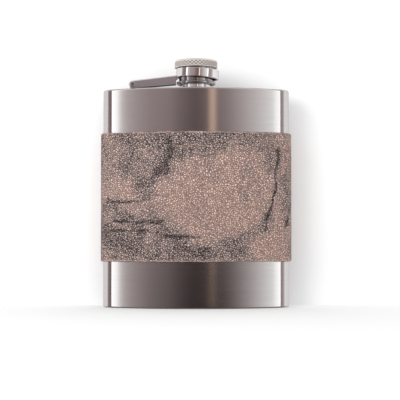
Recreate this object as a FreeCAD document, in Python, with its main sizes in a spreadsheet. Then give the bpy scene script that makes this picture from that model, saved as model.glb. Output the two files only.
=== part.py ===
import FreeCAD, Part
import math
import os
import Sketcher

# Hip flask with a leather wrap and a captive screw cap, in millimetres.
# +Z is up, the convex face looks along -Y, the cap's arm is hinged on the -X side, and the
# origin is the centre of the base on the surface that the flask stands on.

DIMENSIONS = [
    # alias, value, meaning
    ("body_width", 95.2, "steel body, side to side"),
    ("body_height", 110.7, "base to top plate"),
    ("body_depth", 25.0, "front crown to back corners"),
    ("side_flat", 1.56, "straight part of each side"),
    ("back_radius", 160.0, "concave back face"),
    ("front_corner", 9.25, "vertical corner, front"),
    ("back_corner", 4.5, "vertical corner, back"),
    ("wall", 0.6, "sheet of the body tube"),
    ("plate_thickness", 1.2, "top and bottom plates"),
    ("rim_radius", 0.9, "rounded edge of both plates"),
    ("lip_gap", 0.05, "locating lip to tube"),
    ("lip_wall", 0.6, "locating lip, thickness"),
    ("lip_depth", 2.0, "locating lip, height"),
    ("wrap_base", 23.4, "base to lower edge of the wrap"),
    ("wrap_height", 65.0, "leather wrap, height"),
    ("leather", 1.2, "leather, thickness"),
    ("glue_line", 0.05, "leather to steel"),
    ("seam_gap", 0.3, "butt seam at the back"),
    ("stitch_count", 16, "slanted stitches over the seam"),
    ("stitch_radius", 0.3, "waxed thread"),
    ("stitch_reach", 2.2, "seam to stitch hole"),
    ("stitch_slant", 1.6, "rise of one stitch"),
    ("neck_bore", 5.5, "pouring bore, radius"),
    ("spigot_wall", 0.8, "neck inside the top plate"),
    ("spigot_fit", 0.02, "spigot to plate"),
    ("spigot_below", 0.6, "spigot under the plate"),
    ("neck_wall", 1.35, "neck under its thread"),
    ("neck_foot", 2.6, "plain foot, height"),
    ("neck_height", 9.2, "mouth above the plate"),
    ("neck_chamfer", 0.3, "edge of the mouth"),
    ("thread_depth", 0.5, "ridge on the neck, height"),
    ("thread_pitch", 1.0, "rise per turn"),
    ("thread_turns", 4, "on the neck"),
    ("thread_root_width", 0.62, "ridge at its root"),
    ("thread_crest_width", 0.12, "ridge at its crest"),
    ("thread_sink", 0.1, "ridge into its wall"),
    ("thread_runout", 0.15, "mouth to last ridge"),
    ("thread_clearance", 0.15, "crest to root, radial"),
    ("cap_turns", 1.25, "closed to free"),
    ("cap_ridge_width", 0.5, "ridge in the cap at its root"),
    ("cap_ridge_tip", 0.1, "ridge in the cap at its crest"),
    ("cap_ridge_turns", 0.6, "ridge in the cap, part of a turn"),
    ("skirt_clearance", 0.75, "neck's thread to cap skirt, radial"),
    ("skirt_wall", 0.5, "cap skirt"),
    ("skirt_base", 1.9, "plate to cap lip"),
    ("lip_overhang", 1.25, "rolled lip beyond the skirt"),
    ("lip_height", 1.5, "rolled lip, height"),
    ("lip_round", 0.6, "rolled lip, edge radius"),
    ("seal_gap", 0.03, "mouth to gasket"),
    ("gasket_thickness", 1.2, "sealing disc"),
    ("gasket_fit", 0.03, "gasket to its seat"),
    ("web_thickness", 0.8, "closed end of the insert"),
    ("head_wall", 2.35, "knurled head round the skirt"),
    ("head_height", 3.6, "knurled head, height"),
    ("head_top", 0.7, "knurled head, top thickness"),
    ("head_round", 0.8, "knurled head, top edge"),
    ("head_chamfer", 0.25, "knurled head, lower edge"),
    ("collar_play_below", 0.45, "raised lip to collar"),
    ("collar_play_above", 0.75, "collar to knurled head"),
    ("collar_play", 1.15, "skirt to collar, radial"),
    ("collar_wall", 1.0, "collar"),
    ("collar_height", 4.6, "collar, height"),
    ("collar_round", 0.4, "collar, edges"),
    ("collar_tilt", 3.0, "collar, lean in degrees"),
    ("collar_shift", 0.7, "collar, off the neck's axis away from the pin"),
    ("pin_reach", 32.0, "neck axis to hinge pin"),
    ("pin_height", 2.1, "plate to hinge pin"),
    ("pin_radius", 0.75, "hinge pin, radius"),
    ("pin_clearance", 0.05, "pin to bracket, radial"),
    ("rivet_overhang", 0.4, "rivet head beyond the pin"),
    ("rivet_height", 0.4, "rivet head, height"),
    ("rivet_round", 0.24, "rivet head, edge"),
    ("rivet_wall", 0.35, "hollow ends of the rivet"),
    ("rivet_hollow", 1.4, "hollow ends of the rivet, depth"),
    ("arm_width", 6.0, "arm across its flanges"),
    ("arm_sheet", 0.7, "sheet of the arm"),
    ("arm_depth", 4.7, "arm at the collar, top to bottom"),
    ("arm_above", 1.6, "arm's top above the collar's base"),
    ("arm_end_gap", 0.3, "arm's end to the rolled lip"),
    ("arm_bend", 0.65, "outer bend of the arm"),
    ("arm_web_gap", 0.4, "arm's web to the bracket as it swings"),
    ("knuckle_gap", 0.25, "arm's round end to the plate"),
    ("bracket_gap", 0.2, "bracket to each flange"),
    ("bracket_wall", 0.6, "bracket round its pin hole"),
    ("bracket_sheet", 0.7, "sheet of the bracket"),
]

doc = FreeCAD.newDocument("HipFlask")


class Size:
    """A size known both as a number and as the same formula over the sheet."""

    def __init__(self, value, text):
        self.value = value
        self.text = text

    @staticmethod
    def wrap(other):
        return other if isinstance(other, Size) else Size(other, repr(other))

    def join(self, other, sign, value):
        return Size(value, "(" + self.text + sign + Size.wrap(other).text + ")")

    def __add__(self, other):
        return self.join(other, " + ", self.value + Size.wrap(other).value)

    def __sub__(self, other):
        return self.join(other, " - ", self.value - Size.wrap(other).value)

    def __mul__(self, other):
        return self.join(other, " * ", self.value * Size.wrap(other).value)

    def __truediv__(self, other):
        return self.join(other, " / ", self.value / Size.wrap(other).value)

    def __neg__(self):
        return Size(-self.value, "(0 - " + self.text + ")")

    def root(self):
        return Size(math.sqrt(self.value), "sqrt(" + self.text + ")")


def make_sheet():
    """Writes the driving sizes into the sheet and returns them by name."""
    sheet = doc.addObject("Spreadsheet::Sheet", "Dims")
    sizes = {}
    for row, (alias, value, meaning) in enumerate(DIMENSIONS, start=1):
        sheet.set("A%d" % row, alias)
        sheet.set("B%d" % row, str(value))
        sheet.set("C%d" % row, meaning)
        sheet.setAlias("B%d" % row, alias)
        sizes[alias] = Size(value, "Dims." + alias)
    doc.recompute()
    return sizes


D = make_sheet()
ZERO = Size(0.0, "0")

# Sizes that follow from the driving ones. The crown of the front is the arc that touches both
# front corners, whose centres are SIDE_X from the middle and SIDE_Y behind the crown. The rest
# run from the neck's bore outwards and from the plate upwards.
SIDE_X = D["body_width"] / 2 - D["front_corner"]
SIDE_Y = D["body_depth"] - D["back_corner"] - D["side_flat"]
FRONT_RADIUS = (
    (SIDE_X * SIDE_X + SIDE_Y * SIDE_Y - D["front_corner"] * D["front_corner"])
    / (SIDE_Y - D["front_corner"]) / 2
)
SPIGOT = D["neck_bore"] + D["spigot_wall"]
NECK_ROOT = D["neck_bore"] + D["neck_wall"]
NECK_CREST = NECK_ROOT + D["thread_depth"]
CAP_THREAD_CREST = NECK_ROOT + D["thread_clearance"]
CAP_THREAD_ROOT = NECK_CREST + D["thread_clearance"]
SKIRT_BORE = NECK_CREST + D["skirt_clearance"]
SKIRT = SKIRT_BORE + D["skirt_wall"]
LIP = SKIRT + D["lip_overhang"]
HEAD = SKIRT + D["head_wall"]
COLLAR_BORE = SKIRT + D["collar_play"]
COLLAR = COLLAR_BORE + D["collar_wall"]
CAP_TRAVEL = D["thread_pitch"] * D["cap_turns"]
LAST_RIDGE = D["neck_height"] - D["thread_runout"] - D["thread_root_width"] / 2
LIP_TOP = D["skirt_base"] + D["lip_height"]
COLLAR_BASE = LIP_TOP + CAP_TRAVEL + D["collar_play_below"]
HEAD_BASE = COLLAR_BASE + D["collar_height"] + D["collar_play_above"]
SEAT = D["neck_height"] + D["seal_gap"]
BRACKET_HALF = D["pin_radius"] + D["pin_clearance"] + D["bracket_wall"]
KNUCKLE = D["pin_height"] - D["knuckle_gap"]
RIVET = D["pin_radius"] + D["rivet_overhang"]
SECTION = "XZ_Plane"
PLAN = "XY_Plane"


def back_middle():
    """Y of the middle of the concave back: its arc touches both back corners."""
    corner_x = D["body_width"] / 2 - D["back_corner"]
    corner_y = D["body_depth"] / 2 - D["back_corner"]
    centres = D["back_radius"] + D["back_corner"]
    return corner_y + (centres * centres - corner_x * corner_x).root() - D["back_radius"]


def neck_line():
    """Y of the neck, cap and arm: halfway through the body's thickness at its middle."""
    return (back_middle() - D["body_depth"] / 2) / 2


def new_body(label, x=ZERO, y=ZERO, z=ZERO):
    """An empty body with its own label, placed at (x, y, z)."""
    body = doc.addObject("PartDesign::Body", label)
    body.Label = label
    for letter, size in (("x", x), ("y", y), ("z", z)):
        body.setExpression("Placement.Base." + letter, size.text)
    return body


def turn_body(body, axis, angle):
    """Turns a body about one of its own axes, x or y, by an angle in degrees."""
    for letter in "xyz":
        body.setExpression("Placement.Rotation.Axis." + letter, "1" if letter == axis else "0")
    body.setExpression("Placement.Rotation.Angle", angle.text)


def new_sketch(body, name, plane):
    """An empty sketch on one of the body's own origin planes."""
    sketch = body.newObject("Sketcher::SketchObject", name)
    origin_plane = [f for f in body.Origin.OriginFeatures if f.Role == plane][0]
    sketch.AttachmentSupport = [(origin_plane, "")]
    sketch.MapMode = "FlatFace"
    return sketch


def drive(sketch, size, *constraint):
    """Adds one dimension to the sketch and binds it to its formula."""
    index = sketch.addConstraint(Sketcher.Constraint(*constraint, size.value))
    sketch.setExpression("Constraints[%d]" % index, size.text)


def pin_point(sketch, geometry, point, x, y):
    """Fixes a sketch point at (x, y) from the sketch's origin."""
    for size, word, axis in ((x, "DistanceX", -2), (y, "DistanceY", -1)):
        if size is ZERO:
            sketch.addConstraint(Sketcher.Constraint("PointOnObject", geometry, point, axis))
        else:
            drive(sketch, size, word, -1, 1, geometry, point)


def polygon(sketch, points):
    """A closed polygon through points given as pairs of sizes."""
    first = sketch.GeometryCount
    count = len(points)
    corners = [FreeCAD.Vector(x.value, y.value, 0) for x, y in points]
    for i in range(count):
        sketch.addGeometry(Part.LineSegment(corners[i], corners[(i + 1) % count]), False)
    for i in range(count):
        follower = first + (i + 1) % count
        sketch.addConstraint(Sketcher.Constraint("Coincident", first + i, 2, follower, 1))
    for i, (x, y) in enumerate(points):
        pin_point(sketch, first + i, 1, x, y)


def circle(sketch, radius, x=ZERO, y=ZERO):
    """A circle of a given radius about (x, y)."""
    centre = FreeCAD.Vector(x.value, y.value, 0)
    up = FreeCAD.Vector(0, 0, 1)
    index = sketch.addGeometry(Part.Circle(centre, up, radius.value), False)
    pin_point(sketch, index, 3, x, y)
    drive(sketch, radius, "Radius", index)


def arc(sketch, x, y, radius, start, end):
    """An arc from angle start to angle end, counter-clockwise, in radians."""
    full = Part.Circle(FreeCAD.Vector(x, y, 0), FreeCAD.Vector(0, 0, 1), radius)
    return sketch.addGeometry(Part.ArcOfCircle(full, start, end), False)


def outline(sketch, grow):
    """The flask's curved section, moved outwards by grow: a convex front arc, two corners,
    two short straight sides, two back corners and a concave back arc, all tangent."""
    half = D["body_width"] / 2 + grow
    front = FRONT_RADIUS + grow
    back = D["back_radius"] - grow
    front_corner = D["front_corner"] + grow
    rear_corner = D["back_corner"] + grow
    front_y = FRONT_RADIUS - D["body_depth"] / 2
    far_y = D["body_depth"] / 2 - D["back_corner"]

    near_x = half.value - front_corner.value
    near_y = front_y.value - math.sqrt((front.value - front_corner.value) ** 2 - near_x ** 2)
    far_x = half.value - rear_corner.value
    back_y = far_y.value + math.sqrt((back.value + rear_corner.value) ** 2 - far_x ** 2)
    front_angle = math.atan2(near_x, front_y.value - near_y)
    back_angle = math.atan2(far_x, back_y - far_y.value)
    down = -math.pi / 2
    quarter = math.pi / 2

    crown = arc(sketch, 0, front_y.value, front.value, down - front_angle, down + front_angle)
    right_near = arc(sketch, near_x, near_y, front_corner.value, down + front_angle, 0)
    right_side = sketch.addGeometry(
        Part.LineSegment(FreeCAD.Vector(half.value, near_y, 0), FreeCAD.Vector(half.value, far_y.value, 0)),
        False,
    )
    right_far = arc(sketch, far_x, far_y.value, rear_corner.value, 0, quarter + back_angle)
    hollow = arc(sketch, 0, back_y, back.value, down - back_angle, down + back_angle)
    left_far = arc(sketch, -far_x, far_y.value, rear_corner.value, quarter - back_angle, math.pi)
    left_side = sketch.addGeometry(
        Part.LineSegment(FreeCAD.Vector(-half.value, far_y.value, 0), FreeCAD.Vector(-half.value, near_y, 0)),
        False,
    )
    left_near = arc(sketch, -near_x, near_y, front_corner.value, math.pi, 2 * math.pi + down - front_angle)

    joints = [
        (crown, 2, right_near, 1),
        (right_near, 2, right_side, 1),
        (right_side, 2, right_far, 1),
        (right_far, 2, hollow, 2),
        (hollow, 1, left_far, 1),
        (left_far, 2, left_side, 1),
        (left_side, 2, left_near, 1),
        (left_near, 2, crown, 1),
    ]
    for joint in joints:
        sketch.addConstraint(Sketcher.Constraint("Tangent", *joint))
    sketch.addConstraint(Sketcher.Constraint("Vertical", right_side))
    sketch.addConstraint(Sketcher.Constraint("Vertical", left_side))
    sketch.addConstraint(Sketcher.Constraint("PointOnObject", crown, 3, -2))
    sketch.addConstraint(Sketcher.Constraint("PointOnObject", hollow, 3, -2))
    sketch.addConstraint(Sketcher.Constraint("Equal", right_near, left_near))
    sketch.addConstraint(Sketcher.Constraint("Equal", right_far, left_far))
    drive(sketch, front, "Radius", crown)
    drive(sketch, front_corner, "Radius", right_near)
    drive(sketch, rear_corner, "Radius", right_far)
    drive(sketch, back, "Radius", hollow)
    drive(sketch, half, "DistanceX", -1, 1, right_side, 1)
    drive(sketch, -half, "DistanceX", -1, 1, left_side, 1)
    drive(sketch, front_y, "DistanceY", -1, 1, crown, 3)
    drive(sketch, far_y, "DistanceY", -1, 1, right_far, 3)


def extrude(body, kind, name, sketch, length, reverse=False, midplane=False):
    """A pad or pocket of the sketch over a length."""
    feature = body.newObject("PartDesign::" + kind, name)
    feature.Profile = sketch
    feature.setExpression("Length", length.text)
    feature.Reversed = reverse
    if midplane:
        feature.SideType = "Symmetric"
    doc.recompute()
    return feature


def turned(body, name, points):
    """A turned solid: a polygon of (radius, height) points about the body's Z axis."""
    sketch = new_sketch(body, name + "_section", SECTION)
    polygon(sketch, points)
    feature = body.newObject("PartDesign::Revolution", name)
    feature.Profile = sketch
    feature.ReferenceAxis = (sketch, ["V_Axis"])
    feature.Angle = 360
    doc.recompute()
    return feature


def edges_where(feature, test):
    """Names of the feature's edges whose bounding box passes the test."""
    edges = enumerate(feature.Shape.Edges, start=1)
    return ["Edge%d" % i for i, edge in edges if test(edge.BoundBox)]


def soften(body, name, kind, feature, edges, size):
    """A fillet or chamfer of one size on named edges."""
    word = {"Fillet": "Radius", "Chamfer": "Size"}[kind]
    softened = body.newObject("PartDesign::" + kind, name)
    softened.Base = (feature, edges)
    softened.setExpression(word, size.text)
    doc.recompute()
    return softened


def near(a, b):
    """Whether two lengths are the same to within a thousandth."""
    return abs(a - b) < 1e-3


def ring_edges(feature, radius, height):
    """Names of the round edges of one radius that lie at one height."""
    def test(box):
        return near(box.XMax, radius.value) and near(box.ZMin, height.value) and near(box.ZMax, height.value)
    return edges_where(feature, test)


def ridge(body, root, crest, root_width, crest_width, first, turns):
    """A thread ridge: a trapezium carried up a right-hand helix from the height first. Its
    root is sunk a little into the wall that it stands on, inside or outside the bore."""
    outwards = 1 if crest.value > root.value else -1
    sunk = root - D["thread_sink"] * outwards
    sketch = new_sketch(body, "ridge_section", SECTION)
    polygon(sketch, [
        (sunk, first - root_width / 2),
        (root, first - root_width / 2),
        (crest, first - crest_width / 2),
        (crest, first + crest_width / 2),
        (root, first + root_width / 2),
        (sunk, first + root_width / 2),
    ])
    helix = body.newObject("PartDesign::AdditiveHelix", "ridge")
    helix.Profile = sketch
    helix.ReferenceAxis = (sketch, ["V_Axis"])
    helix.Mode = "pitch-turns-angle"
    helix.setExpression("Pitch", D["thread_pitch"].text)
    helix.setExpression("Turns", turns.text)
    helix.LeftHanded = False
    helix.Reversed = False
    doc.recompute()
    return helix


# ---- body: a wrapped and welded tube between two plates ----

def make_body_shell():
    body = new_body("body_shell", z=D["plate_thickness"])
    sketch = new_sketch(body, "tube_section", PLAN)
    outline(sketch, ZERO)
    outline(sketch, -D["wall"])
    extrude(body, "Pad", "tube", sketch, D["body_height"] - D["plate_thickness"] * 2)
    return body


def make_end_plate(label, height, top):
    """A plate that closes one end: rounded outside edge, locating lip inside the tube."""
    body = new_body(label, z=height)
    sketch = new_sketch(body, "plate_outline", PLAN)
    outline(sketch, ZERO)
    plate = extrude(body, "Pad", "plate", sketch, D["plate_thickness"], reverse=not top)
    face_z = D["plate_thickness"].value * (1 if top else -1)
    rim = edges_where(plate, lambda box: near(box.ZMin, face_z) and near(box.ZMax, face_z))
    soften(body, "rim", "Fillet", plate, rim, D["rim_radius"])
    lip = new_sketch(body, "lip_outline", PLAN)
    outline(lip, -(D["wall"] + D["lip_gap"]))
    outline(lip, -(D["wall"] + D["lip_gap"] + D["lip_wall"]))
    extrude(body, "Pad", "lip", lip, D["lip_depth"], reverse=top)
    if top:
        hole = new_sketch(body, "neck_hole_outline", PLAN)
        circle(hole, SPIGOT + D["spigot_fit"], y=neck_line())
        extrude(body, "Pocket", "neck_hole", hole, D["plate_thickness"], reverse=True)
    return body


def make_neck():
    bore = D["neck_bore"]
    mouth = D["neck_height"]
    body = new_body("neck", y=neck_line(), z=D["body_height"])
    bottom = -(D["plate_thickness"] + D["spigot_below"])
    turned(body, "tube", [
        (bore, bottom),
        (SPIGOT, bottom),
        (SPIGOT, ZERO),
        (NECK_CREST, ZERO),
        (NECK_CREST, D["neck_foot"]),
        (NECK_ROOT, D["neck_foot"] + D["thread_depth"]),
        (NECK_ROOT, mouth - D["neck_chamfer"]),
        (NECK_ROOT - D["neck_chamfer"], mouth),
        (bore, mouth),
    ])
    first = LAST_RIDGE - D["thread_pitch"] * D["thread_turns"]
    ridge(body, NECK_ROOT, NECK_CREST, D["thread_root_width"], D["thread_crest_width"],
          first, D["thread_turns"])
    return body


# ---- cap: gasket, threaded insert and knurled head ----

def make_cap_gasket():
    body = new_body("cap_gasket", y=neck_line(), z=D["body_height"] + SEAT)
    sketch = new_sketch(body, "disc_outline", PLAN)
    circle(sketch, SKIRT_BORE - D["gasket_fit"])
    extrude(body, "Pad", "disc", sketch, D["gasket_thickness"])
    return body


def make_cap_insert():
    """A cup with a plain skirt, a short thread just under its gasket and a rolled lip."""
    low = D["skirt_base"]
    thread_low = D["neck_height"] - CAP_TRAVEL
    web = SEAT + D["gasket_thickness"]
    top = HEAD_BASE + D["head_height"] - D["head_top"]
    body = new_body("cap_insert", y=neck_line(), z=D["body_height"])
    cup = turned(body, "cup", [
        (SKIRT_BORE, low),
        (LIP, low),
        (LIP, LIP_TOP),
        (SKIRT, LIP_TOP),
        (SKIRT, top),
        (SKIRT_BORE, top),
        (SKIRT_BORE, web + D["web_thickness"]),
        (ZERO, web + D["web_thickness"]),
        (ZERO, web),
        (SKIRT_BORE, web),
        (SKIRT_BORE, SEAT),
        (CAP_THREAD_ROOT, SEAT),
        (CAP_THREAD_ROOT, thread_low),
        (SKIRT_BORE, thread_low),
    ])
    lip = ring_edges(cup, LIP, low) + ring_edges(cup, LIP, LIP_TOP)
    soften(body, "rolled_lip", "Fillet", cup, lip, D["lip_round"])
    ridge(body, CAP_THREAD_ROOT, CAP_THREAD_CREST, D["cap_ridge_width"], D["cap_ridge_tip"],
          LAST_RIDGE - D["thread_pitch"] / 2, D["cap_ridge_turns"])
    return body


def make_cap_head():
    """The knurled grip, a deep lid pressed over the top of the insert."""
    top = HEAD_BASE + D["head_height"]
    body = new_body("cap_head", y=neck_line(), z=D["body_height"])
    head = turned(body, "head", [
        (SKIRT, HEAD_BASE),
        (HEAD, HEAD_BASE),
        (HEAD, top),
        (ZERO, top),
        (ZERO, top - D["head_top"]),
        (SKIRT, top - D["head_top"]),
    ])
    rounded = soften(body, "top_edge", "Fillet", head, ring_edges(head, HEAD, top), D["head_round"])
    lower = ring_edges(rounded, HEAD, HEAD_BASE)
    soften(body, "lower_edge", "Chamfer", rounded, lower, D["head_chamfer"])
    return body


# ---- arm: channel, collar and rivet ----

def make_arm_collar():
    """A loose ring that leans and stands off centre a little, held at one side only."""
    half = D["collar_height"] / 2
    height = D["body_height"] + COLLAR_BASE + half
    body = new_body("arm_collar", x=D["collar_shift"], y=neck_line(), z=height)
    turn_body(body, "y", D["collar_tilt"])
    ring = turned(body, "ring", [
        (COLLAR_BORE, -half),
        (COLLAR, -half),
        (COLLAR, half),
        (COLLAR_BORE, half),
    ])
    outer = ring_edges(ring, COLLAR, half) + ring_edges(ring, COLLAR, -half)
    soften(body, "edges", "Fillet", ring, outer, D["collar_round"])
    return body


def body_at_pin(label):
    """An empty body whose origin is the middle of the hinge pin."""
    return new_body(label, -D["pin_reach"], neck_line(), D["body_height"] + D["pin_height"])


def arm_reach():
    """From the pin to the arm's end, which stops short of the cap's rolled lip."""
    return D["pin_reach"] - LIP - D["arm_end_gap"]


def arm_end_top():
    """The arm's upper edge at its end, above the pin."""
    return COLLAR_BASE + D["arm_above"] - D["pin_height"]


def arm_profile(sketch):
    """The flange's outline about the pin: a round knuckle and two straight edges that leave
    it tangentially above and below. Its upper half runs on past the cap's rolled lip to the
    collar."""
    reach = arm_reach()
    collar_reach = reach + D["collar_shift"]
    high = arm_end_top()
    low = high - D["arm_depth"]
    step = LIP_TOP + CAP_TRAVEL + D["collar_play_below"] / 2 - D["pin_height"]

    def tangent_angle(x, height, side):
        distance = math.hypot(x.value, height.value)
        return math.atan2(height.value, x.value) + side * math.acos(KNUCKLE.value / distance)

    upper = tangent_angle(collar_reach, high, 1)
    lower = tangent_angle(reach, low, -1) + 2 * math.pi
    round_end = arc(sketch, 0, 0, KNUCKLE.value, upper, lower)
    start = FreeCAD.Vector(KNUCKLE.value * math.cos(lower), KNUCKLE.value * math.sin(lower), 0)
    finish = FreeCAD.Vector(KNUCKLE.value * math.cos(upper), KNUCKLE.value * math.sin(upper), 0)
    corners = [(reach, low), (reach, step), (collar_reach, step), (collar_reach, high)]
    points = [start] + [FreeCAD.Vector(x.value, y.value, 0) for x, y in corners] + [finish]
    edges = [sketch.addGeometry(Part.LineSegment(points[i], points[i + 1]), False) for i in range(5)]
    sketch.addConstraint(Sketcher.Constraint("Coincident", round_end, 3, -1, 1))
    sketch.addConstraint(Sketcher.Constraint("Tangent", round_end, 2, edges[0], 1))
    for edge, follower, (x, y) in zip(edges, edges[1:], corners):
        sketch.addConstraint(Sketcher.Constraint("Coincident", edge, 2, follower, 1))
        pin_point(sketch, follower, 1, x, y)
    sketch.addConstraint(Sketcher.Constraint("Tangent", edges[-1], 2, round_end, 1))
    drive(sketch, KNUCKLE, "Radius", round_end)


def make_hinge_arm():
    """A folded channel, open below, whose web starts clear of the bracket."""
    body = body_at_pin("hinge_arm")
    sketch = new_sketch(body, "flange_outline", SECTION)
    arm_profile(sketch)
    blank = extrude(body, "Pad", "blank", sketch, D["arm_width"], midplane=True)
    half = D["arm_width"].value / 2

    def upper_long_edge(box):
        at_side = near(abs(box.YMin), half) and near(box.YMin, box.YMax)
        return at_side and box.XLength > box.ZLength * 2 and box.ZMin > 0

    soften(body, "bend", "Fillet", blank, edges_where(blank, upper_long_edge), D["arm_bend"])

    reach = arm_reach() + D["collar_shift"]
    high = arm_end_top()
    slope = (high - KNUCKLE) / reach
    past = KNUCKLE * 2
    web_start = (BRACKET_HALF * BRACKET_HALF + D["pin_height"] * D["pin_height"]).root() + D["arm_web_gap"]
    channel = new_sketch(body, "channel_outline", SECTION)
    polygon(channel, [
        (-past, -past),
        (reach + past, -past),
        (reach + past, high + slope * past - D["arm_sheet"]),
        (web_start, KNUCKLE + slope * web_start - D["arm_sheet"]),
        (web_start, high + past),
        (-past, high + past),
    ])
    extrude(body, "Pocket", "channel", channel, D["arm_width"] - D["arm_sheet"] * 2, midplane=True)
    hole = new_sketch(body, "pin_hole_outline", SECTION)
    circle(hole, D["pin_radius"])
    extrude(body, "Pocket", "pin_hole", hole, D["arm_width"] * 2, midplane=True)
    return body


def bracket_width():
    """The bracket fills the arm's channel but for a gap at each flange."""
    return D["arm_width"] - D["arm_sheet"] * 2 - D["bracket_gap"] * 2


def make_hinge_bracket():
    """Two ears folded up from a small base, welded to the top plate."""
    half = BRACKET_HALF
    foot = -D["pin_height"]
    body = body_at_pin("hinge_bracket")
    sketch = new_sketch(body, "ear_outline", SECTION)
    crown = arc(sketch, 0, 0, half.value, 0, math.pi)
    points = [FreeCAD.Vector(sx * half.value, y, 0) for sx, y in
              ((-1, 0), (-1, foot.value), (1, foot.value), (1, 0))]
    left, base, right = [sketch.addGeometry(Part.LineSegment(points[i], points[i + 1]), False)
                         for i in range(3)]
    sketch.addConstraint(Sketcher.Constraint("Coincident", crown, 3, -1, 1))
    sketch.addConstraint(Sketcher.Constraint("Tangent", crown, 2, left, 1))
    sketch.addConstraint(Sketcher.Constraint("Coincident", left, 2, base, 1))
    sketch.addConstraint(Sketcher.Constraint("Coincident", base, 2, right, 1))
    sketch.addConstraint(Sketcher.Constraint("Tangent", right, 2, crown, 1))
    drive(sketch, half, "Radius", crown)
    pin_point(sketch, base, 1, -half, foot)
    pin_point(sketch, base, 2, half, foot)
    extrude(body, "Pad", "ears", sketch, bracket_width(), midplane=True)
    slot = new_sketch(body, "slot_outline", SECTION)
    polygon(slot, [
        (-half * 2, foot + D["bracket_sheet"]),
        (half * 2, foot + D["bracket_sheet"]),
        (half * 2, half * 2),
        (-half * 2, half * 2),
    ])
    extrude(body, "Pocket", "slot", slot, bracket_width() - D["bracket_sheet"] * 2, midplane=True)
    hole = new_sketch(body, "pin_hole_outline", SECTION)
    circle(hole, D["pin_radius"] + D["pin_clearance"])
    extrude(body, "Pocket", "pin_hole", hole, bracket_width() * 2, midplane=True)
    return body


def make_hinge_pin():
    """A rivet with hollow ends, turned about its own Z axis and laid across the arm."""
    body = body_at_pin("hinge_pin")
    turn_body(body, "x", Size(90, "90"))
    inside = D["arm_width"] / 2
    outside = inside + D["rivet_height"]
    hollow = D["pin_radius"] - D["rivet_wall"]
    bottom = outside - D["rivet_hollow"]
    rivet = turned(body, "rivet", [
        (ZERO, -bottom),
        (hollow, -bottom),
        (hollow, -outside),
        (RIVET, -outside),
        (RIVET, -inside),
        (D["pin_radius"], -inside),
        (D["pin_radius"], inside),
        (RIVET, inside),
        (RIVET, outside),
        (hollow, outside),
        (hollow, bottom),
        (ZERO, bottom),
    ])
    rims = [name for end in (outside, -outside) for name in ring_edges(rivet, RIVET, end)]
    soften(body, "head_edges", "Fillet", rivet, rims, D["rivet_round"])
    return body


# ---- leather wrap and its seam ----

def make_leather_wrap():
    """A band round the body whose ends meet in a butt seam at the middle of the back."""
    body = new_body("leather_wrap", z=D["wrap_base"])
    sketch = new_sketch(body, "band_section", PLAN)
    outline(sketch, D["glue_line"] + D["leather"])
    outline(sketch, D["glue_line"])
    extrude(body, "Pad", "band", sketch, D["wrap_height"])
    seam = new_sketch(body, "seam_outline", PLAN)
    half = D["seam_gap"] / 2
    polygon(seam, [
        (-half, ZERO),
        (half, ZERO),
        (half, D["body_depth"]),
        (-half, D["body_depth"]),
    ])
    extrude(body, "Pocket", "seam", seam, D["wrap_height"], reverse=True)
    return body


def make_seam_thread():
    """A row of slanted stitches over the butt seam, each a straight thread with round ends."""
    surface = (back_middle() + D["glue_line"] + D["leather"]).value
    radius = D["stitch_radius"].value
    reach = D["stitch_reach"].value
    rise = D["stitch_slant"].value
    y = surface + radius + D["glue_line"].value
    count = int(D["stitch_count"].value)
    pitch = D["wrap_height"].value / count
    stitches = []
    for i in range(count):
        low = D["wrap_base"].value + pitch * (i + 0.5) - rise / 2
        start = FreeCAD.Vector(-reach, y, low)
        run = FreeCAD.Vector(2 * reach, 0, rise)
        bar = Part.makeCylinder(radius, run.Length, start, run)
        ends = [Part.makeSphere(radius, start), Part.makeSphere(radius, start + run)]
        stitches.append(bar.multiFuse(ends).removeSplitter().Solids[0])
    thread = doc.addObject("Part::Feature", "seam_thread")
    thread.Label = "seam_thread"
    thread.Shape = Part.makeCompound(stitches)
    thread.Placement = FreeCAD.Placement()
    return thread


def build():
    """Builds every sub-part, checks it and writes it to its own file."""
    top_face = D["body_height"] - D["plate_thickness"]
    pieces = [
        make_body_shell(),
        make_end_plate("top_plate", top_face, True),
        make_end_plate("bottom_plate", D["plate_thickness"], False),
        make_neck(),
        make_hinge_bracket(),
        make_leather_wrap(),
        make_seam_thread(),
        make_hinge_arm(),
        make_arm_collar(),
        make_hinge_pin(),
        make_cap_gasket(),
        make_cap_insert(),
        make_cap_head(),
    ]
    doc.recompute()
    for item in doc.Objects:
        if "Invalid" in item.State or "Error" in item.State:
            raise RuntimeError(item.Label + " did not recompute: " + ", ".join(item.State))
    for piece in pieces:
        if piece.Shape.isNull() or not piece.Shape.isValid():
            raise RuntimeError(piece.Label + " has no valid shape")
    os.makedirs("parts", exist_ok=True)
    for piece in pieces:
        piece.Shape.exportStep(os.path.join("parts", piece.Label + ".step"))
        print("%-14s %9.2f mm3 %d solid" % (piece.Label, piece.Shape.Volume, len(piece.Shape.Solids)))


build()
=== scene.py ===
"""A hip flask: a curved brushed-steel body, a stitched leather wrap, and a screw cap whose loose
collar hangs on a hinged arm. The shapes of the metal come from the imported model; this script adds
the leather, its stitching, the knurled grip, every finish and the studio."""

import logging
import math
from dataclasses import dataclass
from enum import Enum
from typing import Any, ClassVar, Sequence, Union

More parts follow.
